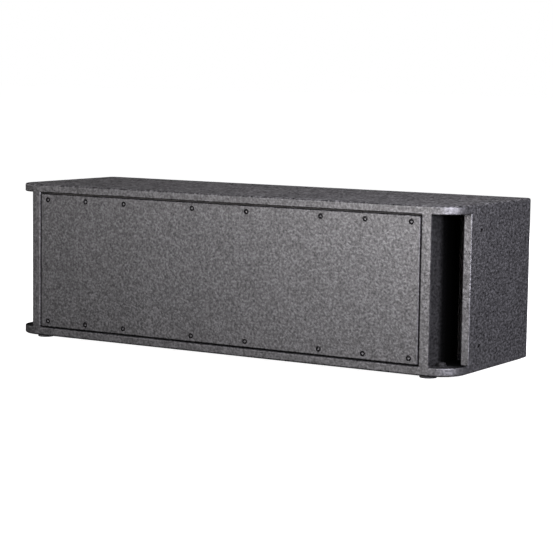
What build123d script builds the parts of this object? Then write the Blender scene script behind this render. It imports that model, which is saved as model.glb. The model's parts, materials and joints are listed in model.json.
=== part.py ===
from build123d import *

import os
from math import asin, cos, degrees, radians, sin, tan

# Low-frequency line array cabinet: two 10-inch woofers in a plywood box vented by two end slots.
# Millimetres. +X runs to the right along the front, +Y to the rear, +Z up.
# The origin is on the floor, under the middle of the cabinet.
# Distances called depth are measured from the front plane, and heights from the cabinet's mid-height.

# ---------------------------------------------------------------- cabinet
cabinet_width = 975
cabinet_depth = 325
cabinet_height = 300
board = 15.8            # 15 mm plywood with its coat
heavy_board = 18.5      # 18 mm plywood with its coat
front_corner_r = 53
rear_corner_r = 12
outer_edge_r = 3.5
small_edge_r = 2
housing_depth = 3       # how far walls are let into the top and bottom panels
side_wall_setback = 67
slot_width = 30.3
port_length = 115
panel_gap = 2.8

# ---------------------------------------------------------------- access panel
batten_width = 28
batten_thickness = 24
side_batten_width = 24
gasket_thickness = 3
gasket_width = 20
gasket_inset = 2
screw_row_height = 120.6
screw_row_x = (60.5, 219, 310.5, 403)
head_pocket_r = 5.25
head_pocket_depth = 3.2
panel_screw_head = (4.75, 2.75)     # each head: radius, height
panel_screw_crown_r = 1.9
panel_screw_length = 30
panel_screw_key = (1.6, 2.2)        # each hexagon recess: radius of its inscribed circle, depth
insert_r = 4
insert_length = 12

# ---------------------------------------------------------------- inner boards
baffle_depth = 170
baffle_thickness = 18
brace_x = 66
brace_window = (80, 180)
brace_window_r = 25

# ---------------------------------------------------------------- feet
foot_height = 5.5
foot_x = 429
foot_setback = 27
foot_top_r = 16.3
foot_bottom_r = 15.5
foot_edge_r = 1.2
foot_recess_r = 5.5
foot_recess_depth = 3.2
foot_screw_r = 2.2
foot_screw_length = 13
foot_screw_head = (4.4, 2.4)
foot_screw_crown_r = 1.2
foot_screw_slot = (4.6, 1, 1.3)     # each arm of a cross recess: length, width, depth

# ---------------------------------------------------------------- rigging points in the floor of each slot
rig_point_x = 452
rig_point_depth = 32
rig_point_insert_r = 7
rig_point_flange = (9.5, 1.6)
rig_point_head = (8.2, 5.3)
rig_point_crown_r = 3.4
rig_point_key = (3, 3.2)
rig_point_screw_stop = 1            # the screw's end lies this far inside the underside

# ---------------------------------------------------------------- rigging inserts in the side walls
rig_insert_depth = 108.5
rig_insert_height = 103.6
rig_insert_r = 6
rig_insert_length = 13
rig_thread_core_r = 3.4

# ---------------------------------------------------------------- connector plate
plate_size = (150, 90)
plate_corner_r = 5.5
plate_thickness = 2
plate_rebate_depth = 9
plate_clearance = 1
plate_window = (120, 60)
plate_window_r = 8
plate_screw_spacing = (136, 76)
plate_screw_head = (3.75, 2.6)
plate_screw_crown_r = 1.2
plate_screw_length = 8
plate_screw_slot = (4, 0.9, 1.5)
connector_x = 25
connector_flange = (26, 31)
connector_flange_t = 3
connector_flange_corner_r = 3
connector_flange_chamfer = 0.6
connector_barrel_r = 11.8
connector_bore_r = 10.8
connector_core_r = 4.5
connector_bore_depth = 18
connector_depth = 32
connector_rim = 1.5                 # how far the barrel stands proud of its flange
connector_keyway = (1, 3)
connector_screw_offset = (9.5, 12)
connector_screw_head = (2.75, 1.9)
connector_screw_crown_r = 0.8
connector_screw_length = 10
connector_screw_slot = (3, 0.7, 1.1)
tab_spacing = (16, 8)
tab_size = (0.8, 4.8, 8)

# ---------------------------------------------------------------- woofers
# A woofer's profile is drawn in (radius, distance behind the baffle's front face).
woofer_x = 205
woofer_r = 130.5
flange_thickness = 6
woofer_gasket_t = 2
woofer_gasket_r = 129
cutout_r = 116
bolt_circle_r = 123
bolt_count = 8
bolt_start_angle = 22.5
basket_lip_r = 118.5                # inner edge of the basket's front flange
basket_mouth_r = (110, 113.5)       # the basket's wall at the flange: inside, outside
basket_waist_r = (76, 84)           # the same wall at the floor
basket_waist_back = 50
basket_hub_r = 34
basket_floor = (55, 61)
basket_spokes = 6
basket_window = (36, 72, 8)         # each window: along the axis, across, corner radius
basket_window_back = 25
basket_window_reach = (70, 120)
spider_ledge = (60, 66)
spider_seat = 49
spider_t = 0.6
spider_rolls = (30, 58)
spider_roll_count = 8
spider_rise = 1.2
surround_seat = -3.5
surround_t = 0.8
surround_rolls = (100, 109)
surround_roll_count = 2
surround_rise = 1.5
surround_r = 118
cone_lip = (95, 100)
cone_lip_back = -2
cone_t = 1.2
cone_neck_back = 40
cone_neck_length = 4
dust_cap_r = 44
dust_cap_t = 1
dust_cap_sphere_r = 85
dust_cap_front = 11.5
coil_r = 25.1
coil_former_t = 0.5
coil_winding_t = 0.7
coil_winding = (57, 73)
gap_r = 26.9
top_plate_r = 70
top_plate_back = 69
magnet_r = (40, 78)
magnet_back = 89
magnet_chamfer = 1
yoke_back = 97
yoke_chamfer = 1.5
pole_r = 24.5
vent_r = 8
terminal_r = 88                     # from the woofer's axis to the terminal block
terminal_height = 36
terminal_span = (44, 60)
terminal_thickness = 8
terminal_corner_r = 2
terminal_pad = 10
lead_r = 0.6
lead_height = 8
# Each braided lead hangs in a loose loop from the terminal block to the back of the cone.
lead_points = ((92, terminal_span[0]), (92, 34), (76, 31), (62, 38), (53, 24))
woofer_screw_head = (4.25, 5)
woofer_screw_length = 25
woofer_screw_key = (2, 2.5)
tee_nut_flange = (6.5, 1.5)
tee_nut_barrel = (3.2, 10)

# ---------------------------------------------------------------- cables
woofer_cable_r = 3
woofer_cable_height = -5
woofer_cable_turn = 33              # straight run behind a socket before the cable turns
woofer_cable_bend_x = 63
link_cable_r = 1.75
link_cable_height = 5.5
link_cable_reach = 42

# ---------------------------------------------------------------- fasteners
m3 = 1.5
m4 = 2
m5 = 2.5
m10 = 5
fit = 0.1               # clearance of a thread or shank in its hole
free_fit = 0.3          # clearance of a bolt in a plain hole

# ---------------------------------------------------------------- derived places
front_y = -cabinet_depth / 2
rear_y = cabinet_depth / 2
mid_z = foot_height + cabinet_height / 2
half_inside = cabinet_height / 2 - board
wall_outer_x = cabinet_width / 2
wall_inner_x = wall_outer_x - board
port_outer_x = wall_inner_x - slot_width
port_inner_x = port_outer_x - heavy_board
panel_width = 2 * (port_inner_x - panel_gap)
panel_height = 2 * (half_inside - panel_gap)
batten_front = board + gasket_thickness
batten_rear = batten_front + batten_thickness
rear_inner = cabinet_depth - board
baffle_rear = baffle_depth + baffle_thickness
plate_seat = cabinet_depth - plate_rebate_depth
plate_front = plate_seat + plate_thickness
connector_face = plate_front + connector_flange_t
connector_rear = plate_front - connector_depth
flange_back = -woofer_gasket_t
flange_front = flange_back - flange_thickness
terminal_middle = sum(terminal_span) / 2
bottom_inner_z = foot_height + board
foot_places = {
    "front_left": (-foot_x, front_y + foot_setback),
    "front_right": (foot_x, front_y + foot_setback),
    "rear_left": (-foot_x, rear_y - foot_setback),
    "rear_right": (foot_x, rear_y - foot_setback),
}
rig_point_places = [(side * rig_point_x, front_y + rig_point_depth) for side in (-1, 1)]
woofer_places = [(-woofer_x, 0), (woofer_x, 0)]
panel_screw_places = []
for screw_x in screw_row_x:
    for height in (-screw_row_height, screw_row_height):
        panel_screw_places += [(-screw_x, height), (screw_x, height)]
connector_screw_places = []
for centre_x in (-connector_x, connector_x):
    for sign in (-1, 1):
        connector_screw_places.append(
            (centre_x + sign * connector_screw_offset[0], sign * connector_screw_offset[1])
        )


def upright(depth, x=0):
    """A plane facing the front at this depth; its origin is at mid-height."""
    return Plane(origin=(x, front_y + depth, mid_z), x_dir=(1, 0, 0), z_dir=(0, -1, 0))


def save(piece, name):
    """Label a finished piece and write its STEP file."""
    piece.part.label = name
    export_step(piece.part, f"parts/{name}.step")


def bend_radii(points):
    """The widest bend at each corner: 0.45 of the shorter run over the tangent of half the turn."""
    radii = []
    for before, corner, after in zip(points, points[1:], points[2:]):
        run_in = Vector(*corner) - Vector(*before)
        run_out = Vector(*after) - Vector(*corner)
        shorter = min(run_in.length, run_out.length)
        radii.append(0.45 * shorter / tan(radians(run_in.get_angle(run_out) / 2)))
    return radii


def cabinet_outline():
    """The outline of the top and bottom panels, in a level sketch."""
    with BuildSketch(mode=Mode.PRIVATE) as outline:
        Rectangle(cabinet_width, cabinet_depth)
        fillet(outline.vertices().group_by(Axis.Y)[0], radius=front_corner_r)
        fillet(outline.vertices().group_by(Axis.Y)[-1], radius=rear_corner_r)
    return outline.sketch


def wall_outline(side, x_near, x_far, depth_near, depth_far):
    """A wall's level section, trimmed to the cabinet's outline."""
    with Locations((side * (x_near + x_far) / 2, front_y + (depth_near + depth_far) / 2)):
        Rectangle(x_far - x_near, depth_far - depth_near)
    add(cabinet_outline(), mode=Mode.INTERSECT)


def cross_slot(length, width):
    """The outline of a cross recess."""
    Rectangle(length, width)
    Rectangle(width, length)


def corrugated_outline(flat_start, rolls, flat_end, count, rise, front, thickness):
    """A corrugated sheet's section: flat landings joined by arcs that bulge one way and then the other."""
    pitch = (rolls[1] - rolls[0]) / count
    with BuildLine(Plane.XY) as outline:
        for level in (front, front + thickness):
            Line((flat_start, level), (rolls[0], level))
            for roll in range(count):
                start = rolls[0] + roll * pitch
                bulge = level - rise if roll % 2 == 0 else level + rise
                ThreePointArc((start, level), (start + pitch / 2, bulge), (start + pitch, level))
            Line((rolls[1], level), (flat_end, level))
        Line((flat_start, front), (flat_start, front + thickness))
        Line((flat_end, front), (flat_end, front + thickness))
    return outline.edges()


def cable_route(points, height):
    """A cable's level route in (x, depth): straight runs joined by tangent arcs."""
    route_plane = Plane(origin=(0, front_y, mid_z + height), x_dir=(1, 0, 0), z_dir=(0, 0, 1))
    radii = bend_radii(points)
    print("bend radii", [round(value, 1) for value in radii])
    with BuildLine(route_plane) as route:
        FilletPolyline(*points, radius=radii)
    return route.line


os.makedirs("parts", exist_ok=True)

# ================================================================ outer boards
for name, up in (("bottom_panel", -1), ("top_panel", 1)):
    inner_z = mid_z + up * half_inside
    with BuildPart() as level_board:
        with BuildSketch(Plane.XY.offset(inner_z)):
            add(cabinet_outline())
        extrude(amount=up * board)
        outer_face = level_board.faces().sort_by(Axis.Z)[-1 if up > 0 else 0]
        fillet(outer_face.edges(), radius=outer_edge_r)
        # Housings for the port walls and the side walls.
        with BuildSketch(Plane.XY.offset(inner_z)):
            for side in (-1, 1):
                with Locations((side * (port_inner_x + port_outer_x) / 2, front_y + port_length / 2)):
                    Rectangle(heavy_board, port_length)
                wall_length = cabinet_depth - side_wall_setback
                with Locations((side * (wall_inner_x + wall_outer_x) / 2, rear_y - wall_length / 2)):
                    Rectangle(board, wall_length)
        extrude(amount=up * housing_depth, mode=Mode.SUBTRACT)
        # The edges left open at the front are eased: over the access panel, and round each slot.
        inner_edges = level_board.edges().filter_by_position(Axis.Z, inner_z - fit, inner_z + fit)
        long_edge = inner_edges.filter_by(GeomType.LINE).filter_by(
            lambda edge: abs(edge.center().Y - front_y) < fit
        )
        corner_arcs = inner_edges.filter_by(GeomType.CIRCLE).filter_by(
            lambda edge: edge.center().Y < front_y + front_corner_r
        )
        fillet(long_edge + corner_arcs, radius=small_edge_r)
        if up < 0:
            with BuildSketch(Plane.XY.offset(inner_z)):
                with Locations(*rig_point_places):
                    Circle(rig_point_insert_r + fit)
            extrude(amount=-board, mode=Mode.SUBTRACT)
            with BuildSketch(Plane.XY.offset(foot_height)):
                with Locations(*foot_places.values()):
                    Circle(foot_screw_r + fit)
            extrude(amount=foot_screw_length - foot_height + foot_recess_depth + 1, mode=Mode.SUBTRACT)
    save(level_board, name)

for name, side in (("left", -1), ("right", 1)):
    with BuildPart() as side_wall:
        with BuildSketch(Plane.XY.offset(mid_z - half_inside)):
            wall_outline(side, wall_inner_x, wall_outer_x, side_wall_setback, cabinet_depth)
        extrude(amount=2 * half_inside)
        fillet(side_wall.edges().filter_by(Axis.Z).group_by(Axis.Y)[0], radius=small_edge_r)
        # The tongues that sit in the housings.
        for level in (-half_inside, half_inside + housing_depth):
            with BuildSketch(Plane.XY.offset(mid_z + level)):
                wall_outline(side, wall_inner_x, wall_outer_x, side_wall_setback, cabinet_depth)
            extrude(amount=-housing_depth)
        # Blind holes for the rigging inserts, bored from outside.
        outer_face = Plane(origin=(side * wall_outer_x, front_y + rig_insert_depth, mid_z),
                           x_dir=(0, side, 0), z_dir=(side, 0, 0))
        with BuildSketch(outer_face):
            with Locations((0, -rig_insert_height), (0, rig_insert_height)):
                Circle(rig_insert_r + fit)
        extrude(amount=-rig_insert_length - 1, mode=Mode.SUBTRACT)
    save(side_wall, f"{name}_side_wall")

    with BuildPart() as port_wall:
        with BuildSketch(Plane.XY.offset(mid_z - half_inside)):
            wall_outline(side, port_inner_x, port_outer_x, 0, port_length)
        extrude(amount=2 * half_inside)
        fillet(port_wall.edges().filter_by(Axis.Z).sort_by(Axis.Y)[:2], radius=small_edge_r)
        for level in (-half_inside, half_inside + housing_depth):
            with BuildSketch(Plane.XY.offset(mid_z + level)):
                wall_outline(side, port_inner_x, port_outer_x, 0, port_length)
            extrude(amount=-housing_depth)
    save(port_wall, f"{name}_port_wall")

with BuildPart() as rear_panel:
    with BuildSketch(upright(cabinet_depth)):
        Rectangle(2 * wall_inner_x, 2 * half_inside)
    extrude(amount=board)
    with BuildSketch(upright(cabinet_depth)):
        RectangleRounded(plate_size[0] + plate_clearance, plate_size[1] + plate_clearance,
                         plate_corner_r + plate_clearance / 2)
    extrude(amount=plate_rebate_depth, mode=Mode.SUBTRACT)
    with BuildSketch(upright(plate_seat)):
        RectangleRounded(*plate_window, plate_window_r)
    extrude(amount=board, mode=Mode.SUBTRACT)
    with BuildSketch(upright(plate_seat)):
        with GridLocations(*plate_screw_spacing, 2, 2):
            Circle(m4 + fit)
    extrude(amount=plate_screw_length - plate_thickness + free_fit, mode=Mode.SUBTRACT)
save(rear_panel, "rear_panel")

# ================================================================ access panel and its frame
with BuildPart() as access_panel:
    with BuildSketch(upright(board)):
        Rectangle(panel_width, panel_height)
    extrude(amount=board)
    fillet(access_panel.edges().filter_by(Axis.Y), radius=small_edge_r)
    fillet(access_panel.faces().sort_by(Axis.Y)[0].edges(), radius=small_edge_r - free_fit)
    with BuildSketch(upright(0)):
        with Locations(*panel_screw_places):
            Circle(head_pocket_r)
    extrude(amount=-head_pocket_depth, mode=Mode.SUBTRACT)
    with BuildSketch(upright(0)):
        with Locations(*panel_screw_places):
            Circle(m5 + free_fit)
    extrude(amount=-board, mode=Mode.SUBTRACT)
save(access_panel, "access_panel")

with BuildPart() as panel_gasket:
    with BuildSketch(upright(batten_front)):
        Rectangle(panel_width - 2 * gasket_inset, panel_height - 2 * gasket_inset)
        Rectangle(panel_width - 2 * gasket_width, panel_height - 2 * gasket_width, mode=Mode.SUBTRACT)
        with Locations(*panel_screw_places):
            Circle(m5 + free_fit, mode=Mode.SUBTRACT)
    extrude(amount=gasket_thickness)
save(panel_gasket, "panel_gasket")

for name, up in (("bottom", -1), ("top", 1)):
    with BuildPart() as batten:
        with BuildSketch(upright(batten_rear)):
            with Locations((0, up * (half_inside - batten_width / 2))):
                Rectangle(2 * port_inner_x, batten_width)
        extrude(amount=batten_thickness)
        with BuildSketch(upright(batten_front)):
            with Locations([place for place in panel_screw_places if place[1] * up > 0]):
                Circle(insert_r + fit)
        extrude(amount=-insert_length, mode=Mode.SUBTRACT)
        with BuildSketch(upright(batten_front)):
            with Locations([place for place in panel_screw_places if place[1] * up > 0]):
                Circle(m5 + free_fit)
        extrude(amount=-batten_thickness, mode=Mode.SUBTRACT)
    save(batten, f"{name}_batten")

for name, side in (("left", -1), ("right", 1)):
    with BuildPart() as side_batten:
        with BuildSketch(upright(batten_rear)):
            with Locations((side * (port_inner_x - side_batten_width / 2), 0)):
                Rectangle(side_batten_width, 2 * (half_inside - batten_width))
        extrude(amount=batten_thickness)
    save(side_batten, f"{name}_batten")

with BuildPart() as access_panel_inserts:
    with BuildSketch(upright(batten_front)):
        with Locations(*panel_screw_places):
            Circle(insert_r)
            Circle(m5 + fit, mode=Mode.SUBTRACT)
    extrude(amount=-insert_length)
save(access_panel_inserts, "access_panel_inserts")

with BuildPart() as access_panel_screws:
    with BuildSketch(upright(head_pocket_depth)):
        with Locations(*panel_screw_places):
            Circle(panel_screw_head[0])
    extrude(amount=panel_screw_head[1])
    fillet(access_panel_screws.edges().group_by(Axis.Y)[0], radius=panel_screw_crown_r)
    with BuildSketch(upright(head_pocket_depth)):
        with Locations(*panel_screw_places):
            Circle(m5)
    extrude(amount=-panel_screw_length)
    with BuildSketch(upright(head_pocket_depth - panel_screw_head[1])):
        with Locations(*panel_screw_places):
            RegularPolygon(panel_screw_key[0], 6, major_radius=False)
    extrude(amount=-panel_screw_key[1], mode=Mode.SUBTRACT)
save(access_panel_screws, "access_panel_screws")

# ================================================================ inner boards
with BuildPart() as driver_baffle:
    with BuildSketch(upright(baffle_rear)):
        Rectangle(2 * wall_inner_x, 2 * half_inside)
        with Locations(*woofer_places):
            Circle(cutout_r, mode=Mode.SUBTRACT)
            with PolarLocations(bolt_circle_r, bolt_count, bolt_start_angle):
                Circle(tee_nut_barrel[0] + fit, mode=Mode.SUBTRACT)
    extrude(amount=baffle_thickness)
save(driver_baffle, "driver_baffle")

for name, side in (("left", -1), ("right", 1)):
    with BuildPart() as brace:
        middle_y = front_y + (baffle_rear + rear_inner) / 2
        brace_face = Plane(origin=(side * (brace_x + board / 2), middle_y, mid_z),
                           x_dir=(0, 1, 0), z_dir=(1, 0, 0))
        with BuildSketch(brace_face):
            Rectangle(rear_inner - baffle_rear, 2 * half_inside)
            RectangleRounded(*brace_window, brace_window_r, mode=Mode.SUBTRACT)
        extrude(amount=board / 2, both=True)
    save(brace, f"{name}_brace")

# ================================================================ rigging inserts and rigging points
with BuildPart() as side_inserts:
    for side in (-1, 1):
        outer_face = Plane(origin=(side * wall_outer_x, front_y + rig_insert_depth, mid_z),
                           x_dir=(0, side, 0), z_dir=(side, 0, 0))
        with BuildSketch(outer_face):
            with Locations((0, -rig_insert_height), (0, rig_insert_height)):
                Circle(rig_insert_r)
                Circle(rig_thread_core_r, mode=Mode.SUBTRACT)
        extrude(amount=-rig_insert_length)
save(side_inserts, "side_inserts")

with BuildPart() as rigging_point_inserts:
    with BuildSketch(Plane.XY.offset(foot_height)):
        with Locations(*rig_point_places):
            Circle(rig_point_insert_r)
            Circle(m10 + fit, mode=Mode.SUBTRACT)
    extrude(amount=board)
save(rigging_point_inserts, "rigging_point_inserts")

# A flanged button-head screw closes each rigging point from inside the slot.
with BuildPart() as rigging_point_screws:
    with BuildSketch(Plane.XY.offset(bottom_inner_z)):
        with Locations(*rig_point_places):
            Circle(rig_point_flange[0])
    extrude(amount=rig_point_flange[1])
    fillet(rigging_point_screws.edges().group_by(Axis.Z)[-1], radius=rig_point_flange[1] / 3)
    flange_top = bottom_inner_z + rig_point_flange[1]
    with BuildSketch(Plane.XY.offset(flange_top)):
        with Locations(*rig_point_places):
            Circle(rig_point_head[0])
    extrude(amount=rig_point_head[1])
    fillet(rigging_point_screws.edges().group_by(Axis.Z)[-1], radius=rig_point_crown_r)
    with BuildSketch(Plane.XY.offset(foot_height + rig_point_screw_stop)):
        with Locations(*rig_point_places):
            Circle(m10)
    extrude(amount=board - rig_point_screw_stop)
    with BuildSketch(Plane.XY.offset(flange_top + rig_point_head[1])):
        with Locations(*rig_point_places):
            RegularPolygon(rig_point_key[0], 6, major_radius=False)
    extrude(amount=-rig_point_key[1], mode=Mode.SUBTRACT)
save(rigging_point_screws, "rigging_point_screws")

# ================================================================ feet
for name, (x, y) in foot_places.items():
    with BuildPart() as foot:
        with BuildSketch(Plane.XZ.offset(-y)):
            with BuildLine():
                Polyline(
                    (x + foot_screw_r + free_fit, foot_height),
                    (x + foot_top_r, foot_height),
                    (x + foot_bottom_r, 0),
                    (x + foot_recess_r, 0),
                    (x + foot_recess_r, foot_recess_depth),
                    (x + foot_screw_r + free_fit, foot_recess_depth),
                    close=True,
                )
            make_face()
        revolve(axis=Axis((x, y, 0), (0, 0, 1)))
        fillet(foot.edges().group_by(Axis.Z)[0].sort_by(SortBy.LENGTH)[-1], radius=foot_edge_r)
    save(foot, f"foot_{name}")

with BuildPart() as foot_screws:
    with BuildSketch(Plane.XY.offset(foot_recess_depth)):
        with Locations(*foot_places.values()):
            Circle(foot_screw_head[0])
    extrude(amount=-foot_screw_head[1])
    fillet(foot_screws.edges().group_by(Axis.Z)[0], radius=foot_screw_crown_r)
    with BuildSketch(Plane.XY.offset(foot_recess_depth)):
        with Locations(*foot_places.values()):
            Circle(foot_screw_r)
    extrude(amount=foot_screw_length)
    with BuildSketch(Plane.XY.offset(foot_recess_depth - foot_screw_head[1])):
        with Locations(*foot_places.values()):
            cross_slot(*foot_screw_slot[:2])
    extrude(amount=foot_screw_slot[2], mode=Mode.SUBTRACT)
save(foot_screws, "foot_screws")

# ================================================================ connector plate
with BuildPart() as connector_plate:
    with BuildSketch(upright(plate_front)):
        RectangleRounded(*plate_size, plate_corner_r)
        with Locations((-connector_x, 0), (connector_x, 0)):
            Circle(connector_barrel_r + fit, mode=Mode.SUBTRACT)
        with Locations(*connector_screw_places):
            Circle(m3 + fit, mode=Mode.SUBTRACT)
        with GridLocations(*plate_screw_spacing, 2, 2):
            Circle(m4 + free_fit, mode=Mode.SUBTRACT)
    extrude(amount=plate_thickness)
save(connector_plate, "connector_plate")

for name, side in (("input", -1), ("link", 1)):
    centre_x = side * connector_x
    rim_face = connector_face + connector_rim
    with BuildPart() as connector:
        with BuildSketch(upright(connector_face, centre_x)):
            RectangleRounded(*connector_flange, connector_flange_corner_r)
            with Locations(connector_screw_offset, (-connector_screw_offset[0], -connector_screw_offset[1])):
                Circle(m3 + fit, mode=Mode.SUBTRACT)
        extrude(amount=connector_flange_t)
        flange_rim = connector.faces().sort_by(Axis.Y)[-1].outer_wire()
        chamfer(flange_rim.edges(), length=connector_flange_chamfer)
        # The barrel passes through the plate and stands a little proud of the flange.
        with BuildSketch(upright(rim_face, centre_x)):
            Circle(connector_barrel_r)
        extrude(amount=rim_face - connector_rear)
        with BuildSketch(upright(rim_face, centre_x)):
            Circle(connector_bore_r)
            Circle(connector_core_r, mode=Mode.SUBTRACT)
            # Three keyways guide the plug.
            with PolarLocations(connector_bore_r, 3, 90):
                Rectangle(*connector_keyway)
        extrude(amount=connector_bore_depth, mode=Mode.SUBTRACT)
        # Four solder tabs at the back.
        with BuildSketch(upright(connector_rear, centre_x)):
            with GridLocations(*tab_spacing, 2, 2):
                Rectangle(*tab_size[:2])
        extrude(amount=tab_size[2])
    save(connector, f"{name}_connector")

with BuildPart() as connector_screws:
    with BuildSketch(upright(connector_face)):
        with Locations(*connector_screw_places):
            Circle(connector_screw_head[0])
    extrude(amount=-connector_screw_head[1])
    fillet(connector_screws.edges().group_by(Axis.Y)[-1], radius=connector_screw_crown_r)
    with BuildSketch(upright(connector_face)):
        with Locations(*connector_screw_places):
            Circle(m3)
    extrude(amount=connector_screw_length)
    with BuildSketch(upright(connector_face + connector_screw_head[1])):
        with Locations(*connector_screw_places):
            cross_slot(*connector_screw_slot[:2])
    extrude(amount=connector_screw_slot[2], mode=Mode.SUBTRACT)
save(connector_screws, "connector_screws")

with BuildPart() as connector_plate_screws:
    with BuildSketch(upright(plate_front)):
        with GridLocations(*plate_screw_spacing, 2, 2):
            Circle(plate_screw_head[0])
    extrude(amount=-plate_screw_head[1])
    fillet(connector_plate_screws.edges().group_by(Axis.Y)[-1], radius=plate_screw_crown_r)
    with BuildSketch(upright(plate_front)):
        with GridLocations(*plate_screw_spacing, 2, 2):
            Circle(m4)
    extrude(amount=plate_screw_length)
    with BuildSketch(upright(plate_front + plate_screw_head[1])):
        with GridLocations(*plate_screw_spacing, 2, 2):
            cross_slot(*plate_screw_slot[:2])
    extrude(amount=plate_screw_slot[2], mode=Mode.SUBTRACT)
save(connector_plate_screws, "connector_plate_screws")

# ================================================================ woofers
for name, side in (("left", -1), ("right", 1)):
    centre_x = side * woofer_x
    profile = Plane(origin=(centre_x, front_y + baffle_depth, mid_z), x_dir=(1, 0, 0), z_dir=(0, 0, 1))
    axis = Axis((centre_x, front_y + baffle_depth, mid_z), (0, 1, 0))
    inward = -side      # the terminals face the cabinet's middle
    pad = Plane(origin=(centre_x + inward * terminal_r, front_y + baffle_depth, mid_z),
                x_dir=(0, 1, 0), z_dir=(inward, 0, 0))
    terminal_depth_size = terminal_span[1] - terminal_span[0]

    with BuildPart() as basket:
        with BuildSketch(profile):
            with BuildLine():
                Polyline(
                    (basket_lip_r, flange_front), (woofer_r, flange_front), (woofer_r, flange_back),
                    (basket_mouth_r[1], flange_back), (basket_waist_r[1], basket_waist_back),
                    (basket_waist_r[1], basket_floor[1]), (basket_hub_r, basket_floor[1]),
                    (basket_hub_r, basket_floor[0]), (spider_ledge[0], basket_floor[0]),
                    (spider_ledge[0], spider_seat), (spider_ledge[1], spider_seat),
                    (spider_ledge[1], basket_floor[0]), (basket_waist_r[0], basket_floor[0]),
                    (basket_mouth_r[0], surround_seat), (basket_lip_r, surround_seat), close=True,
                )
            make_face()
        revolve(axis=axis)
        for spoke in range(basket_spokes):
            angle = radians(360 / basket_spokes * spoke)
            window = Plane(origin=(centre_x, front_y + baffle_depth + basket_window_back, mid_z),
                           x_dir=(0, 1, 0), z_dir=(cos(angle), 0, sin(angle)))
            with BuildSketch(window.offset(basket_window_reach[0])):
                RectangleRounded(*basket_window)
            extrude(amount=basket_window_reach[1] - basket_window_reach[0], mode=Mode.SUBTRACT)
        # A pad carries the terminal block.
        with BuildSketch(pad):
            with Locations((terminal_middle, 0)):
                Rectangle(terminal_depth_size, terminal_height)
        extrude(amount=-terminal_pad)
        with BuildSketch(upright(baffle_depth, centre_x)):
            with PolarLocations(bolt_circle_r, bolt_count, bolt_start_angle):
                Circle(m5 + free_fit)
        extrude(amount=-flange_front, mode=Mode.SUBTRACT)
    save(basket, f"{name}_woofer_basket")

    with BuildPart() as terminal_block:
        with BuildSketch(pad):
            with Locations((terminal_middle, 0)):
                RectangleRounded(terminal_depth_size, terminal_height, terminal_corner_r)
        extrude(amount=terminal_thickness)
    save(terminal_block, f"{name}_terminal_block")

    with BuildPart() as woofer_gasket:
        with BuildSketch(upright(baffle_depth, centre_x)):
            Circle(woofer_gasket_r)
            Circle(cutout_r + free_fit, mode=Mode.SUBTRACT)
            with PolarLocations(bolt_circle_r, bolt_count, bolt_start_angle):
                Circle(m5 + free_fit, mode=Mode.SUBTRACT)
        extrude(amount=woofer_gasket_t)
    save(woofer_gasket, f"{name}_woofer_gasket")

    with BuildPart() as surround:
        with BuildSketch(profile):
            make_face(corrugated_outline(cone_lip[0], surround_rolls, surround_r, surround_roll_count,
                                         surround_rise, surround_seat - surround_t, surround_t))
        revolve(axis=axis)
    save(surround, f"{name}_surround")

    with BuildPart() as cone:
        neck_r = coil_r + coil_former_t + fit
        with BuildSketch(profile):
            with BuildLine():
                Polyline(
                    (neck_r, cone_neck_back - cone_neck_length),
                    (neck_r + cone_t, cone_neck_back - cone_neck_length),
                    (cone_lip[0], cone_lip_back - cone_t), (cone_lip[1], cone_lip_back - cone_t),
                    (cone_lip[1], cone_lip_back), (cone_lip[0] + cone_t, cone_lip_back),
                    (neck_r + 2 * cone_t, cone_neck_back - cone_neck_length / 2),
                    (neck_r + cone_t, cone_neck_back), (neck_r, cone_neck_back), close=True,
                )
            make_face()
        revolve(axis=axis)
    save(cone, f"{name}_cone")

    with BuildPart() as dust_cap:
        with BuildSketch(profile):
            with BuildLine():
                centre = (0, dust_cap_front + dust_cap_sphere_r)
                spread = degrees(asin(dust_cap_r / dust_cap_sphere_r))
                outside = CenterArc(centre, dust_cap_sphere_r, -90, spread)
                inside = CenterArc(centre, dust_cap_sphere_r - dust_cap_t, -90, spread)
                Line(outside @ 0, inside @ 0)
                Line(outside @ 1, inside @ 1)
            make_face()
        revolve(axis=axis)
    save(dust_cap, f"{name}_dust_cap")

    with BuildPart() as voice_coil:
        former_r = coil_r + coil_former_t
        former_front = cone_neck_back - cone_neck_length
        with BuildSketch(profile):
            with BuildLine():
                Polyline(
                    (coil_r, former_front), (former_r, former_front), (former_r, coil_winding[0]),
                    (former_r + coil_winding_t, coil_winding[0]),
                    (former_r + coil_winding_t, coil_winding[1]), (coil_r, coil_winding[1]), close=True,
                )
            make_face()
        revolve(axis=axis)
    save(voice_coil, f"{name}_voice_coil")

    with BuildPart() as spider:
        spider_inner_r = coil_r + coil_former_t + 2 * fit + spider_t
        with BuildSketch(profile):
            make_face(corrugated_outline(spider_inner_r, spider_rolls, spider_ledge[1], spider_roll_count,
                                         spider_rise, spider_seat - spider_t, spider_t))
        revolve(axis=axis)
    save(spider, f"{name}_spider")

    with BuildPart() as top_plate:
        with BuildSketch(upright(baffle_depth + basket_floor[1], centre_x)):
            Circle(top_plate_r)
            Circle(gap_r, mode=Mode.SUBTRACT)
        extrude(amount=-(top_plate_back - basket_floor[1]))
    save(top_plate, f"{name}_top_plate")

    with BuildPart() as magnet:
        with BuildSketch(upright(baffle_depth + top_plate_back, centre_x)):
            Circle(magnet_r[1])
            Circle(magnet_r[0], mode=Mode.SUBTRACT)
        extrude(amount=-(magnet_back - top_plate_back))
        chamfer(magnet.edges().filter_by(GeomType.CIRCLE), length=magnet_chamfer)
    save(magnet, f"{name}_magnet")

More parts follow.
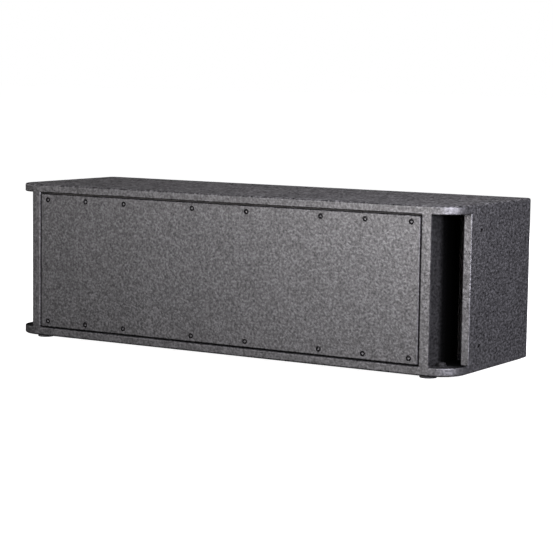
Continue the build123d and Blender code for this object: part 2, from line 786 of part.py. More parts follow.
    with BuildPart() as yoke:
        with BuildSketch(upright(baffle_depth + magnet_back, centre_x)):
            Circle(top_plate_r)
        extrude(amount=-(yoke_back - magnet_back))
        with BuildSketch(upright(baffle_depth + magnet_back, centre_x)):
            Circle(pole_r)
        extrude(amount=magnet_back - basket_floor[1])
        chamfer(yoke.faces().sort_by(Axis.Y)[-1].edges(), length=yoke_chamfer)
        with BuildSketch(upright(baffle_depth + yoke_back, centre_x)):
            Circle(vent_r)
        extrude(amount=yoke_back - basket_floor[1], mode=Mode.SUBTRACT)
    save(yoke, f"{name}_yoke")

    with BuildPart() as tinsel_leads:
        for height in (-lead_height, lead_height):
            lead_plane = Plane(origin=(centre_x, front_y + baffle_depth, mid_z + height),
                               x_dir=(inward, 0, 0), z_dir=(0, 0, inward))
            with BuildLine(lead_plane) as lead_path:
                FilletPolyline(*lead_points, radius=bend_radii(lead_points))
            with BuildSketch(Plane(origin=lead_path.line @ 0, z_dir=lead_path.line % 0)):
                Circle(lead_r)
            sweep(path=lead_path.line)
    save(tinsel_leads, f"{name}_tinsel_leads")

with BuildPart() as woofer_screws:
    with BuildSketch(upright(baffle_depth + flange_front)):
        with Locations(*woofer_places):
            with PolarLocations(bolt_circle_r, bolt_count, bolt_start_angle):
                Circle(woofer_screw_head[0])
    extrude(amount=woofer_screw_head[1])
    with BuildSketch(upright(baffle_depth + flange_front)):
        with Locations(*woofer_places):
            with PolarLocations(bolt_circle_r, bolt_count, bolt_start_angle):
                Circle(m5)
    extrude(amount=-woofer_screw_length)
    with BuildSketch(upright(baffle_depth + flange_front - woofer_screw_head[1])):
        with Locations(*woofer_places):
            with PolarLocations(bolt_circle_r, bolt_count, bolt_start_angle):
                RegularPolygon(woofer_screw_key[0], 6, major_radius=False)
    extrude(amount=-woofer_screw_key[1], mode=Mode.SUBTRACT)
save(woofer_screws, "woofer_screws")

with BuildPart() as woofer_tee_nuts:
    with BuildSketch(upright(baffle_rear)):
        with Locations(*woofer_places):
            with PolarLocations(bolt_circle_r, bolt_count, bolt_start_angle):
                Circle(tee_nut_flange[0])
                Circle(m5 + fit, mode=Mode.SUBTRACT)
    extrude(amount=-tee_nut_flange[1])
    with BuildSketch(upright(baffle_rear)):
        with Locations(*woofer_places):
            with PolarLocations(bolt_circle_r, bolt_count, bolt_start_angle):
                Circle(tee_nut_barrel[0])
                Circle(m5 + fit, mode=Mode.SUBTRACT)
    extrude(amount=tee_nut_barrel[1])
save(woofer_tee_nuts, "woofer_tee_nuts")

# ================================================================ cables
terminal_x = woofer_x - terminal_r - terminal_thickness
terminal_depth = baffle_depth + terminal_middle
turn_depth = connector_rear - woofer_cable_turn
for name, side in (("left", -1), ("right", 1)):
    route = cable_route(
        [(side * connector_x, connector_rear), (side * connector_x, turn_depth),
         (side * woofer_cable_bend_x, terminal_depth), (side * terminal_x, terminal_depth)],
        height=woofer_cable_height,
    )
    with BuildPart() as woofer_cable:
        with BuildSketch(Plane(origin=route @ 0, z_dir=route % 0)):
            Circle(woofer_cable_r)
        sweep(path=route)
    save(woofer_cable, f"{name}_woofer_cable")

loop_depth = connector_rear - link_cable_reach
route = cable_route(
    [(-connector_x, connector_rear), (-connector_x, loop_depth),
     (connector_x, loop_depth), (connector_x, connector_rear)],
    height=link_cable_height,
)
with BuildPart() as link_cable:
    with BuildSketch(Plane(origin=route @ 0, z_dir=route % 0)):
        Circle(link_cable_r)
    sweep(path=route)
save(link_cable, "link_cable")
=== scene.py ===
import json
import math

import bpy
import numpy as np
from mathutils import Matrix, Vector


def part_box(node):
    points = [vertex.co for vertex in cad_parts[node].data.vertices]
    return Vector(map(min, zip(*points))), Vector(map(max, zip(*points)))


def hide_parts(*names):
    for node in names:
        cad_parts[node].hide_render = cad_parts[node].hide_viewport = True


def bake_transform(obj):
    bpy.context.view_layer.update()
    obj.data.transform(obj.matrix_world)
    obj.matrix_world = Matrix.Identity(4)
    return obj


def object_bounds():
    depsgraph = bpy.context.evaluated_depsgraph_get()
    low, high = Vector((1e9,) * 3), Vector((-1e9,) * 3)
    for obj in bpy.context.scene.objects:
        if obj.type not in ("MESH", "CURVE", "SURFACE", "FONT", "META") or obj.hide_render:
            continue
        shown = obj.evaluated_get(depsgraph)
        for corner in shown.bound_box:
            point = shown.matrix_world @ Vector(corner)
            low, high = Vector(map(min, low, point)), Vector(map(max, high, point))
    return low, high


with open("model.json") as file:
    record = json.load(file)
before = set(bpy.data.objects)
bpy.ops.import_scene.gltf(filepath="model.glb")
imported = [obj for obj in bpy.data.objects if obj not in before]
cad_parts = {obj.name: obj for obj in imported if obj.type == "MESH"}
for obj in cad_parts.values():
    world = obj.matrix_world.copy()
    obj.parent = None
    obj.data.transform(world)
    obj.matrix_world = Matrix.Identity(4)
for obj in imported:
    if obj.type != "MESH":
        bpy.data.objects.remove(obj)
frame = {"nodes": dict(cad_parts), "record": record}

cad_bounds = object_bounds()

# ------------------------------------------------------------------ camera
# Metres and radians, in the part's own frame. A fitting program found these numbers from the photograph.
CAMERA_PLACE = (1.92148, -3.07222, 0.53226)
CAMERA_YAW = -0.55236       # to the left of straight ahead
CAMERA_PITCH = 0.1083       # down
CAMERA_ROLL = 0.01424
SENSOR = 36.0
LENS = 122.395

# ------------------------------------------------------------------ sprayed coat
GRAIN_SIZE = 0.0042
GRAIN_STRETCH = (1.0, 0.55, 1.0)   # the grains lie longer from front to rear
GRAIN_HEIGHT = 0.00035
MOTTLE_SIZE = 4 * GRAIN_SIZE
PATCH_SIZE = 0.09
COAT_SHARES = (0.75, 0.20, 0.05)   # of the grains, the mottle and the patches in the shade
COAT_CONTRAST = (0.34, 0.66, 0.08, 1.0)     # noise from, to; shade from, to
COAT_GLOSS = (0.25, 0.75, 0.32, 0.68)       # noise from, to; gloss from, to
COAT_ROUGHNESS = (0.45, 0.36)
# Ramp places below 0.08 are reached only inside the slots, where painted shade darkens the coat.
COAT_AND_SLOT_SHADE_TONES = ((0.0, 0.0003), (0.12, 0.0018), (0.28, 0.0068), (0.54, 0.0121), (1.0, 0.0315))
LEVEL_FADE = (0.15, 0.5)    # upward parts of a face's normal between which its gloss fades out

# The access panel's screws: how far their key recesses and their pockets reach from each axis.
KEY_REACH = 0.00195
POCKET_REACH = 0.0054
POCKET_DEPTH = 0.0032
POCKET_MARGIN = 0.0003      # a pocket's paint starts and ends this much further in
SCREW_SPACING = 0.02        # points nearer to each other than this are on one screw
INSERT_MARGIN = 0.0002      # faces this close to a side insert's outer end are coated

# Inside each slot port, between its walls and its two panels, painted shade darkens the coat with depth.
SLOT_SPAN = (0.4409, 0.4722)    # to each side of the middle, with half a millimetre to spare
SLOT_RISE = (0.0208, 0.2902)    # in height, likewise
SLOT_MOUTH = 0.0665             # up to the side wall's front edge
SLOT_END = 0.300                # short of the rear panel's outer face
SLOT_PAINTED_SHADE = (                   # from one depth to another: brightness before, brightness after, of the painted shade
    (0.001, 0.007, 1.0, 0.45),
    (0.034, 0.052, 0.45, 0.05),
    (0.052, 0.068, 0.05, 0.0),
)

# The woofers' flexing rings, each with an inner and an outer radius.
RINGS = {"surround": (0.100, 0.109), "spider": (0.028, 0.040)}

# ------------------------------------------------------------------ floor and surroundings
FLOOR_REACH = 40.0
FLOOR_TONES = (0.19, 0.21)
FLOOR_PATCH = 0.5
GLOW_RADII = (0.3, 1.0)
FLOOR_GLOW = (0.93, 1.0)    # within the first radius, and beyond the second
AMBIENT = (0.025, 0.025, 0.027)

# ------------------------------------------------------------------ shading
CORNER_ANGLE = math.radians(35)     # faces that meet at more than this keep a crisp corner
WELD_DISTANCE = 1e-6
WEIGHT_OF_LARGE_FACES = 100
WEAVE_SCALE = 400.0
WEAVE_DISTORTION = 0.4

nodes = frame["nodes"]


def make_camera():
    """The camera, turned by yaw, pitch and roll from looking along +Y."""
    forward = Vector((
        math.sin(CAMERA_YAW) * math.cos(CAMERA_PITCH),
        math.cos(CAMERA_YAW) * math.cos(CAMERA_PITCH),
        -math.sin(CAMERA_PITCH),
    ))
    level = Vector((math.cos(CAMERA_YAW), -math.sin(CAMERA_YAW), 0.0))
    upright = level.cross(forward)
    right = level * math.cos(CAMERA_ROLL) + upright * math.sin(CAMERA_ROLL)
    up = upright * math.cos(CAMERA_ROLL) - level * math.sin(CAMERA_ROLL)
    data = bpy.data.cameras.new("camera")
    data.sensor_width = SENSOR
    data.lens = LENS
    camera = bpy.data.objects.new("camera", data)
    columns = Matrix((right, up, -forward)).transposed()
    camera.matrix_world = Matrix.Translation(CAMERA_PLACE) @ columns.to_4x4()
    bpy.context.scene.collection.objects.link(camera)
    bpy.context.scene.camera = camera


# ------------------------------------------------------------------ materials
class Paint:
    """A material under construction: its node tree, its shader, and coordinates in metres."""

    def __init__(self, name, colour, roughness, metallic=0.0, specular=0.5):
        self.material = bpy.data.materials.new(name)
        self.material.use_nodes = True
        self.tree = self.material.node_tree
        self.shader = self.tree.nodes["Principled BSDF"]
        self.shader.inputs["Base Color"].default_value = (*colour, 1.0)
        self.shader.inputs["Roughness"].default_value = roughness
        self.shader.inputs["Metallic"].default_value = metallic
        self.shader.inputs["Specular IOR Level"].default_value = specular
        self.place = self.tree.nodes.new("ShaderNodeTexCoord").outputs["Object"]

    def node(self, kind, **settings):
        made = self.tree.nodes.new(kind)
        for key, value in settings.items():
            setattr(made, key, value)
        return made

    def link(self, source, target):
        self.tree.links.new(source, target)

    def noise(self, size, detail=2.0, roughness=0.5, stretch=None):
        """A noise value whose features are about size metres across."""
        made = self.node("ShaderNodeTexNoise")
        made.inputs["Scale"].default_value = 1.0 / size
        made.inputs["Detail"].default_value = detail
        made.inputs["Roughness"].default_value = roughness
        if stretch:
            mapping = self.node("ShaderNodeMapping")
            mapping.inputs["Scale"].default_value = stretch
            self.link(self.place, mapping.inputs["Vector"])
            self.link(mapping.outputs["Vector"], made.inputs["Vector"])
        else:
            self.link(self.place, made.inputs["Vector"])
        return made.outputs["Fac"]

    def cells(self, size):
        """Distances in a pattern of cells about size metres across."""
        made = self.node("ShaderNodeTexVoronoi")
        made.inputs["Scale"].default_value = 1.0 / size
        self.link(self.place, made.inputs["Vector"])
        return made.outputs["Distance"]

    def remap(self, value, low, high, to_low=0.0, to_high=1.0):
        """value between low and high, moved to between to_low and to_high."""
        made = self.node("ShaderNodeMapRange")
        made.inputs["From Min"].default_value = low
        made.inputs["From Max"].default_value = high
        made.inputs["To Min"].default_value = to_low
        made.inputs["To Max"].default_value = to_high
        self.link(value, made.inputs["Value"])
        return made.outputs["Result"]

    def math(self, operation, first, second=0.0):
        """One operation on two values, each a number or another node's output."""
        made = self.node("ShaderNodeMath", operation=operation)
        for socket, value in zip(made.inputs, (first, second)):
            if isinstance(value, (int, float)):
                socket.default_value = value
            else:
                self.link(value, socket)
        return made.outputs[0]

    def colour(self, value, *stops):
        """The base colour from a value: stops are (place, (r, g, b))."""
        ramp = self.node("ShaderNodeValToRGB")
        elements = ramp.color_ramp.elements
        while len(elements) < len(stops):
            elements.new(0.5)
        for element, (place, colour) in zip(elements, stops):
            element.position = place
            element.color = (*colour, 1.0)
        self.link(value, ramp.inputs["Fac"])
        self.link(ramp.outputs["Color"], self.shader.inputs["Base Color"])

    def rough(self, value, low, high):
        """The roughness from a noise value, between low and high."""
        self.link(self.remap(value, 0.3, 0.7, low, high), self.shader.inputs["Roughness"])

    def bump(self, height, distance, strength=1.0):
        """Relief from a height between 0 and 1, distance metres deep."""
        made = self.node("ShaderNodeBump")
        made.inputs["Distance"].default_value = distance
        made.inputs["Strength"].default_value = strength
        self.link(height, made.inputs["Height"])
        self.link(made.outputs["Normal"], self.shader.inputs["Normal"])


def grey(value):
    return (value, value, value)


def coat():
    """The sprayed black coat: fine grains under a soft mottle, with painted shade that darkens it to
    black deep in the slots.
    """
    paint = Paint("coat", grey(0.02), 0.45)
    fine = paint.noise(GRAIN_SIZE, roughness=0.6, stretch=GRAIN_STRETCH)
    mottle = paint.noise(MOTTLE_SIZE, stretch=GRAIN_STRETCH)
    patches = paint.noise(PATCH_SIZE)
    parts = [paint.math("MULTIPLY", *pair) for pair in zip((fine, mottle, patches), COAT_SHARES)]
    shade = paint.math("ADD", paint.math("ADD", parts[0], parts[1]), parts[2])
    # Painted shade: inside the slots this factor darkens the coat's tone and gloss with depth, to black
    # deep inside.
    coat_shaded_in_slots = painted_slot_shade(paint)
    shade = paint.math("MULTIPLY", paint.remap(shade, *COAT_CONTRAST), coat_shaded_in_slots)
    paint.colour(shade, *((place, grey(tone)) for place, tone in COAT_AND_SLOT_SHADE_TONES))
    gloss = paint.math("MULTIPLY", paint.remap(fine, *COAT_GLOSS), coat_shaded_in_slots)
    gloss = paint.math("MULTIPLY", gloss, paint.math("SUBTRACT", 1.0, level(paint)))
    paint.link(gloss, paint.shader.inputs["Specular IOR Level"])
    paint.rough(mottle, *COAT_ROUGHNESS)
    paint.bump(fine, GRAIN_HEIGHT)
    return paint.material


def painted_slot_shade(paint):
    """Painted shade in the slots, as a factor on the coat: 1 outside the slots, darker just inside them,
    black deep inside.
    """
    place = paint.node("ShaderNodeSeparateXYZ")
    paint.link(paint.place, place.inputs[0])
    across = paint.math("ABSOLUTE", place.outputs["X"])
    depth = paint.math("SUBTRACT", place.outputs["Y"], cad_bounds[0][1])

    def span(value, low, high):
        """1 for a value between low and high, and 0 elsewhere."""
        above = paint.math("GREATER_THAN", value, low)
        return paint.math("MULTIPLY", above, paint.math("LESS_THAN", value, high))

    walls = paint.math("MULTIPLY", span(across, *SLOT_SPAN), span(depth, 0.0, SLOT_END))
    mouth = paint.math("MULTIPLY", span(across, SLOT_SPAN[0], 1.0), span(depth, 0.0, SLOT_MOUTH))
    within = paint.math("MAXIMUM", walls, mouth)
    within = paint.math("MULTIPLY", span(place.outputs["Z"], *SLOT_RISE), within)
    kept = 1.0
    for near, far, before, after in SLOT_PAINTED_SHADE:
        kept = paint.math("MULTIPLY", paint.remap(depth, near, far, 1.0, after / before), kept)
    lost = paint.math("MULTIPLY", within, paint.math("SUBTRACT", 1.0, kept))
    return paint.math("SUBTRACT", 1.0, lost)


def level(paint):
    """0 on upright faces, 1 on faces that look up or down, rounded edges included."""
    normal = paint.node("ShaderNodeSeparateXYZ")
    paint.link(paint.node("ShaderNodeTexCoord").outputs["Normal"], normal.inputs[0])
    return paint.remap(paint.math("ABSOLUTE", normal.outputs["Z"]), *LEVEL_FADE)


def stained_plywood():
    """The inner boards: a thin black stain over the veneer."""
    paint = Paint("stained_plywood", grey(0.02), 0.7)
    fibres = paint.noise(0.004, detail=4.0, stretch=(0.05, 1.0, 1.0))
    paint.colour(fibres, (0.3, (0.010, 0.009, 0.008)), (0.7, (0.030, 0.027, 0.024)))
    paint.rough(fibres, 0.6, 0.85)
    paint.bump(fibres, 0.0003, 0.6)
    return paint.material


def foam():
    """Closed-cell foam gaskets."""
    paint = Paint("foam", grey(0.02), 0.9, specular=0.2)
    bubbles = paint.cells(0.0012)
    paint.colour(bubbles, (0.1, grey(0.012)), (0.6, grey(0.030)))
    paint.bump(bubbles, 0.0003, 0.8)
    return paint.material


def rubber():
    """The moulded feet."""
    paint = Paint("rubber", grey(0.02), 0.75, specular=0.35)
    skin = paint.noise(0.0011, detail=3.0)
    smear = paint.noise(0.012, detail=2.0)
    paint.colour(smear, (0.3, grey(0.012)), (0.7, grey(0.026)))
    paint.rough(smear, 0.62, 0.85)
    paint.bump(skin, 0.00012, 0.7)
    return paint.material


def black_oxide():
    """The heads of the black screws."""
    paint = Paint("black_oxide", grey(0.004), 0.5, specular=0.05)
    marks = paint.noise(0.0016, detail=3.0)
    paint.colour(marks, (0.3, grey(0.002)), (0.7, grey(0.006)))
    paint.rough(marks, 0.4, 0.55)
    paint.bump(marks, 0.00004, 0.5)
    return paint.material


def screw_painted_highlight():
    """Painted highlight: the key recess of a screw, a lighter half-metal grey where the head shows its
    highlight.
    """
    paint = Paint("screw_painted_highlight", grey(0.12), 0.4, metallic=0.5)
    marks = paint.noise(0.0009, detail=3.0)
    paint.colour(marks, (0.3, grey(0.07)), (0.7, grey(0.18)))
    paint.rough(marks, 0.36, 0.55)
    paint.bump(marks, 0.00005, 0.5)
    return paint.material


def pocket_painted_shade():
    """Painted shade inside a screw's pocket, below the coat: near-black."""
    paint = Paint("pocket_painted_shade", grey(0.003), 0.9, specular=0.05)
    fibres = paint.noise(0.001, detail=3.0)
    paint.colour(fibres, (0.3, grey(0.002)), (0.7, grey(0.005)))
    paint.bump(fibres, 0.0001, 0.5)
    return paint.material


def bore_painted_shade():
    """Painted shade: the cut thread of a hole, near-black for the shade inside it."""
    paint = Paint("bore_painted_shade", grey(0.001), 0.8, specular=0.05)
    turns = paint.noise(0.0009, detail=2.0)
    paint.colour(turns, (0.3, grey(0.0005)), (0.7, grey(0.002)))
    paint.bump(turns, 0.0001, 0.7)
    return paint.material


def zinc():
    """Plated steel inserts, tee nuts and plates."""
    paint = Paint("zinc", grey(0.55), 0.35, metallic=1.0)
    bloom = paint.noise(0.004, detail=4.0)
    paint.colour(bloom, (0.3, (0.42, 0.42, 0.40)), (0.7, (0.66, 0.66, 0.63)))
    paint.rough(bloom, 0.28, 0.48)
    paint.bump(paint.noise(0.0006, detail=2.0), 0.00003, 0.4)
    return paint.material


def powder_coat(name="powder_coat", low=0.018, high=0.034):
    """Baked powder on metal, with a fine orange peel."""
    paint = Paint(name, grey(high), 0.5)
    peel = paint.noise(0.0009, detail=2.0)
    patches = paint.noise(0.02, detail=2.0)
    paint.colour(patches, (0.3, grey(low)), (0.7, grey(high)))
    paint.rough(peel, 0.42, 0.58)
    paint.bump(peel, 0.00012, 0.6)
    return paint.material


def moulded_plastic(name="moulded_plastic", low=0.014, high=0.026, roughness=(0.38, 0.55)):
    """Black plastic with a fine spark-eroded skin."""
    paint = Paint(name, grey(high), 0.45)
    spark = paint.noise(0.0005, detail=2.0)
    flow = paint.noise(0.01, detail=2.0)
    paint.colour(flow, (0.3, grey(low)), (0.7, grey(high)))
    paint.rough(spark, *roughness)
    paint.bump(spark, 0.00005, 0.5)
    return paint.material


def paper():
    """Pressed pulp: short fibres over a soft mottle."""
    paint = Paint("paper", grey(0.03), 0.85, specular=0.2)
    fibres = paint.noise(0.0018, detail=5.0, roughness=0.7)
    paint.colour(fibres, (0.3, (0.016, 0.015, 0.014)), (0.7, (0.045, 0.042, 0.038)))
    paint.bump(fibres, 0.0002, 0.7)
    return paint.material


def cloth(name, dark, light, gloss):
    """A plain weave: two sets of threads at right angles."""
    paint = Paint(name, light, gloss)
    waves = []
    for direction in ("X", "Z"):
        wave = paint.node("ShaderNodeTexWave", wave_type="BANDS", bands_direction=direction)
        wave.inputs["Scale"].default_value = WEAVE_SCALE
        wave.inputs["Distortion"].default_value = WEAVE_DISTORTION
        paint.link(paint.place, wave.inputs["Vector"])
        waves.append(wave.outputs["Fac"])
    weave = paint.math("MULTIPLY", *waves)
    paint.colour(weave, (0.1, dark), (0.8, light))
    paint.bump(weave, 0.0002, 0.8)
    return paint.material


def ferrite():
    """Sintered magnets."""
    paint = Paint("ferrite", grey(0.03), 0.6, specular=0.4)
    grain = paint.noise(0.002, detail=4.0, roughness=0.7)
    paint.colour(grain, (0.3, grey(0.018)), (0.7, grey(0.042)))
    paint.rough(grain, 0.5, 0.75)
    paint.bump(grain, 0.00015, 0.6)
    return paint.material


def copper():
    """Fine turns of wire, or braid."""
    paint = Paint("copper", (0.72, 0.36, 0.18), 0.3, metallic=1.0)
    turns = paint.noise(0.0008, detail=1.0, stretch=(0.2, 1.0, 0.2))
    paint.colour(turns, (0.3, (0.42, 0.17, 0.07)), (0.7, (0.80, 0.42, 0.22)))
    paint.rough(turns, 0.25, 0.45)
    paint.bump(turns, 0.0001, 0.7)
    return paint.material


SLOT_PAINTS = {
    "coated_plywood": coat(),
    "black_stained_plywood": stained_plywood(),
    "foam_rubber": foam(),
    "black_steel": black_oxide(),
    "zinc_steel": zinc(),
    "foot_rubber": rubber(),
    "painted_plate": powder_coat(),
    "black_plastic": moulded_plastic(),
    "cast_basket": powder_coat("cast_coat", 0.016, 0.030),
    "paper_cone": paper(),
    "surround_cloth": cloth("surround_weave", grey(0.008), grey(0.035), 0.55),
    "spider_cloth": cloth("spider_weave", (0.20, 0.11, 0.03), (0.50, 0.31, 0.11), 0.7),
    "ferrite": ferrite(),
    "coil_copper": copper(),
    "cable_jacket": moulded_plastic("cable_jacket", 0.010, 0.020, (0.45, 0.6)),
}


def mark_corners(mesh, limit):
    """Marks the edges where faces meet at more than limit radians.

    Faces meet where their points lie together, also if each face has points of its own.
    """
    places = np.empty(len(mesh.vertices) * 3)
    mesh.vertices.foreach_get("co", places)
    keys = np.unique(np.round(places.reshape(-1, 3), 6), axis=0, return_inverse=True)[1].ravel()
    loop_points = np.empty(len(mesh.loops), int)
    loop_edges = np.empty(len(mesh.loops), int)
    edge_points = np.empty(len(mesh.edges) * 2, int)
    normals = np.empty(len(mesh.polygons) * 3)
    lengths = np.empty(len(mesh.polygons), int)
    mesh.loops.foreach_get("vertex_index", loop_points)
    mesh.loops.foreach_get("edge_index", loop_edges)
    mesh.edges.foreach_get("vertices", edge_points)
    mesh.polygons.foreach_get("normal", normals)
    mesh.polygons.foreach_get("loop_total", lengths)
    ends = np.sort(keys[edge_points.reshape(-1, 2)], axis=1)
    names = np.unique(ends, axis=0, return_inverse=True)[1].ravel()
    normals = normals.reshape(-1, 3)[np.repeat(np.arange(len(lengths)), lengths)]
    totals = np.zeros((names.max() + 1, 3))
    counts = np.zeros(names.max() + 1)
    np.add.at(totals, names[loop_edges], normals)
    np.add.at(counts, names[loop_edges], 1)
    # Two unit normals at an angle a add up to a vector 2 cos(a / 2) long.
    flat = np.linalg.norm(totals, axis=1) / np.maximum(counts, 1)
    corner = flat < math.cos(limit / 2)
    sharp = mesh.attributes.get("sharp_edge")
    if sharp is None:
        sharp = mesh.attributes.new("sharp_edge", "BOOLEAN", "EDGE")
    sharp.data.foreach_set("value", corner[names])


def smooth(node):
    """Rounds the shading over curved faces and leaves flat faces flat and real corners crisp."""
    node.data.polygons.foreach_set("use_smooth", [True] * len(node.data.polygons))
    mark_corners(node.data, CORNER_ANGLE)
    weld = node.modifiers.new("weld", "WELD")
    weld.merge_threshold = WELD_DISTANCE
    weighted = node.modifiers.new("weighted_normals", "WEIGHTED_NORMAL")
    weighted.weight = WEIGHT_OF_LARGE_FACES
    weighted.keep_sharp = True


def paint_nodes():
    """Each CAD node gets the paint of its slot in the record."""
    for entry in frame["record"]["subparts"]:
        node = nodes[entry["node"]]
        node.data.materials.clear()
        node.data.materials.append(SLOT_PAINTS[entry["material_slot"]])


def repaint(node, paint, chosen):
    """Gives one more paint to the faces of a node that chosen picks."""
    node.data.materials.append(paint)
    slot = len(node.data.materials) - 1
    for polygon in node.data.polygons:
        if chosen(polygon):
            polygon.material_index = slot


def paint_panel_screws():
    """A painted highlight in the key recesses of the access panel's screws, and painted shade in the
    pockets in the panel around them.
    """
    screws, panel = nodes["access_panel_screws"], nodes["access_panel"]
    centres = screw_axes(screws)
    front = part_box(panel.name)[0].y + POCKET_MARGIN
    bottom = front + POCKET_DEPTH

    def from_axis(polygon):
        spot = Vector((polygon.center.x, polygon.center.z))
        return min((spot - centre).length for centre in centres)

    def in_recess(polygon):
        return from_axis(polygon) < KEY_REACH and polygon.center.y < bottom

    def in_pocket(polygon):
        return from_axis(polygon) < POCKET_REACH and front < polygon.center.y < bottom

    # Painted highlight: a lighter, half-metal grey in each screw's key recess.
    repaint(screws, screw_painted_highlight(), in_recess)
    # Painted shade: near-black in the pocket around each screw.
    repaint(panel, pocket_painted_shade(), in_pocket)


def paint_side_inserts():
    """Coat over the inserts' outer rings, and painted shade on the threads inside them."""
    inserts = nodes["side_inserts"]
    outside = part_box(inserts.name)[1].x - INSERT_MARGIN
    # Painted shade: near-black on the threads inside each insert's bore.
    repaint(inserts, bore_painted_shade(), lambda polygon: abs(polygon.center.x) < outside)
    coat_shaded_in_slots = SLOT_PAINTS["coated_plywood"]
    repaint(inserts, coat_shaded_in_slots, lambda polygon: abs(polygon.center.x) >= outside)


def screw_axes(node):
    """The middle of each separate screw in a node that holds several, seen along Y."""
    spots = []
    for vertex in node.data.vertices:
        spot = Vector((vertex.co.x, vertex.co.z))
        for group in spots:
            if (group[0] - spot).length < SCREW_SPACING:
                group.append(spot)
                break
        else:
            spots.append([spot])
    centres = []
    for group in spots:
        xs = [spot.x for spot in group]
        zs = [spot.y for spot in group]
        centres.append(Vector(((min(xs) + max(xs)) / 2, (min(zs) + max(zs)) / 2)))
    return centres


# ------------------------------------------------------------------ woofers
def flexing(node):
    """A copy of a CAD node that stands for it and isn't bound to one body."""
    piece = bpy.data.objects.new(f"{node.name}_flexing", node.data.copy())
    bpy.context.scene.collection.objects.link(piece)
    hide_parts(node.name)
    return piece


def flexing_ring(node):
    """A copy of a woofer's ring in place of its CAD node, with its points as they were."""
    piece = flexing(node)
    low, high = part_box(node.name)
    places = np.empty(len(piece.data.vertices) * 3)
    piece.data.vertices.foreach_get("co", places)
    places = places.reshape(-1, 3)
    middle = (low + high) / 2
    unrolled = np.zeros_like(places)
    unrolled[:, 0] = np.hypot(places[:, 0] - middle.x, places[:, 2] - middle.z)
    piece.data.vertices.foreach_set("co", unrolled.ravel())
    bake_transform(piece)
    piece.data.vertices.foreach_set("co", places.ravel())
    piece.data.update()
    return piece


def flexing_leads(node):
    """Leads from the terminals, nearer the middle of the cabinet, to the cone."""
    piece = flexing(node)
    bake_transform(piece)
    return piece


def make_woofers_flex():
    """The pieces between each woofer's cone and its basket."""
    made = []
    for side in ("left", "right"):
        for part, (inner, outer) in RINGS.items():
            name = f"{side}_{part}"
            made.append(flexing_ring(nodes[name]))
        name = f"{side}_tinsel_leads"
        made.append(flexing_leads(nodes[name]))
    return made


# ------------------------------------------------------------------ studio
COOL = (1.03, 1.0, 1.15)
WARM = (1.04, 1.0, 1.02)

# Soft boxes: name, degrees to the right of the front, degrees up, metres away, size, watts, colour.
# A fitting program found the watts from left_low to side_high. The others were set one by one.
SOFTBOXES = (
    ("left_side", -85, 15, 3.0, (1.2, 1.0), 20.0, WARM),
    ("left_low", -35, 10, 3.0, (0.8, 0.8), 15.6, WARM),
    ("front_low", -10, 10, 3.0, (0.8, 0.8), 94.0, WARM),
    ("front_right", 15, 10, 3.0, (0.8, 0.8), 14.2, WARM),
    ("right_near", 40, 12, 1.3, (0.5, 0.5), 8.7, WARM),
    ("right_high", 60, 45, 1.3, (0.6, 0.5), 41.8, COOL),
    ("right_low", 58, 10, 3.0, (0.8, 0.8), 122.0, COOL),
    ("side_low", 80, 10, 3.0, (0.8, 0.8), 102.0, COOL),
    ("side_high", 85, 35, 3.0, (0.8, 0.8), 19.7, COOL),
    ("overhead", 0, 88, 2.0, (1.6, 1.2), 130.0, WARM),
    ("back_high", 170, 65, 2.5, (1.5, 1.2), 35.0, WARM),
    ("back_low", 186, 15, 3.0, (1.2, 1.0), 110.0, WARM),
)


def softbox(name, azimuth, elevation, distance, size, power, colour):
    """An area light that looks at the middle of the object."""
    azimuth, elevation = math.radians(azimuth), math.radians(elevation)
    away = Vector((
        math.sin(azimuth) * math.cos(elevation),
        -math.cos(azimuth) * math.cos(elevation),
        math.sin(elevation),
    ))
    middle = Vector((0.0, 0.0, (cad_bounds[0][2] + cad_bounds[1][2]) / 2))
    data = bpy.data.lights.new(name, "AREA")
    data.shape = "RECTANGLE"
    data.size, data.size_y = size
    data.energy = power
    data.color = colour
    light = bpy.data.objects.new(name, data)
    light.location = middle + away * distance
    light.rotation_euler = (-away).to_track_quat("-Z", "Y").to_euler()
    bpy.context.scene.collection.objects.link(light)


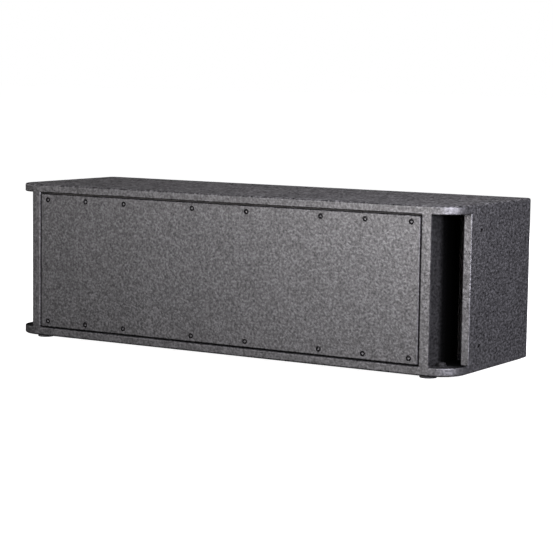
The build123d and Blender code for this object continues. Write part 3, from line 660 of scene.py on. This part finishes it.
def make_world(ambient):
    """A white backdrop, and a dimmer ambient light for the object."""
    world = bpy.data.worlds.new("studio")
    world.use_nodes = True
    tree = world.node_tree
    backdrop = tree.nodes["Background"]
    backdrop.inputs["Color"].default_value = (1.0, 1.0, 1.0, 1.0)
    around = tree.nodes.new("ShaderNodeBackground")
    around.inputs["Color"].default_value = (*ambient, 1.0)
    path = tree.nodes.new("ShaderNodeLightPath")
    mix = tree.nodes.new("ShaderNodeMixShader")
    tree.links.new(path.outputs["Is Camera Ray"], mix.inputs["Fac"])
    tree.links.new(around.outputs["Background"], mix.inputs[1])
    tree.links.new(backdrop.outputs["Background"], mix.inputs[2])
    tree.links.new(mix.outputs["Shader"], tree.nodes["World Output"].inputs["Surface"])
    bpy.context.scene.world = world


def make_floor():
    """A pale floor that glows a little less close to the object, so that the edge can't be seen."""
    mesh = bpy.data.meshes.new("floor")
    square = ((-1, -1), (1, -1), (1, 1), (-1, 1))
    corners = [(FLOOR_REACH * x, FLOOR_REACH * y, 0) for x, y in square]
    mesh.from_pydata(corners, [], [(0, 1, 2, 3)])
    floor = bpy.data.objects.new("floor", mesh)
    bpy.context.scene.collection.objects.link(floor)
    paint = Paint("floor_paint", grey(0.2), 0.9, specular=0.0)
    low, high = FLOOR_TONES
    paint.colour(paint.noise(FLOOR_PATCH), (0.3, grey(low)), (0.7, grey(high)))
    distance = paint.node("ShaderNodeVectorMath", operation="LENGTH")
    paint.link(paint.place, distance.inputs[0])
    paint.shader.inputs["Emission Color"].default_value = (1.0, 1.0, 1.0, 1.0)
    glow = paint.remap(distance.outputs["Value"], *GLOW_RADII, *FLOOR_GLOW)
    paint.link(glow, paint.shader.inputs["Emission Strength"])
    mesh.materials.append(paint.material)
    floor.visible_diffuse = False
    floor.visible_glossy = False


def make_studio():
    for box in SOFTBOXES:
        softbox(*box)
    make_world(AMBIENT)
    make_floor()
    bpy.context.scene.view_settings.view_transform = "Standard"


make_camera()
paint_nodes()
paint_panel_screws()
paint_side_inserts()
for piece in [*nodes.values(), *make_woofers_flex()]:
    smooth(piece)
make_studio()
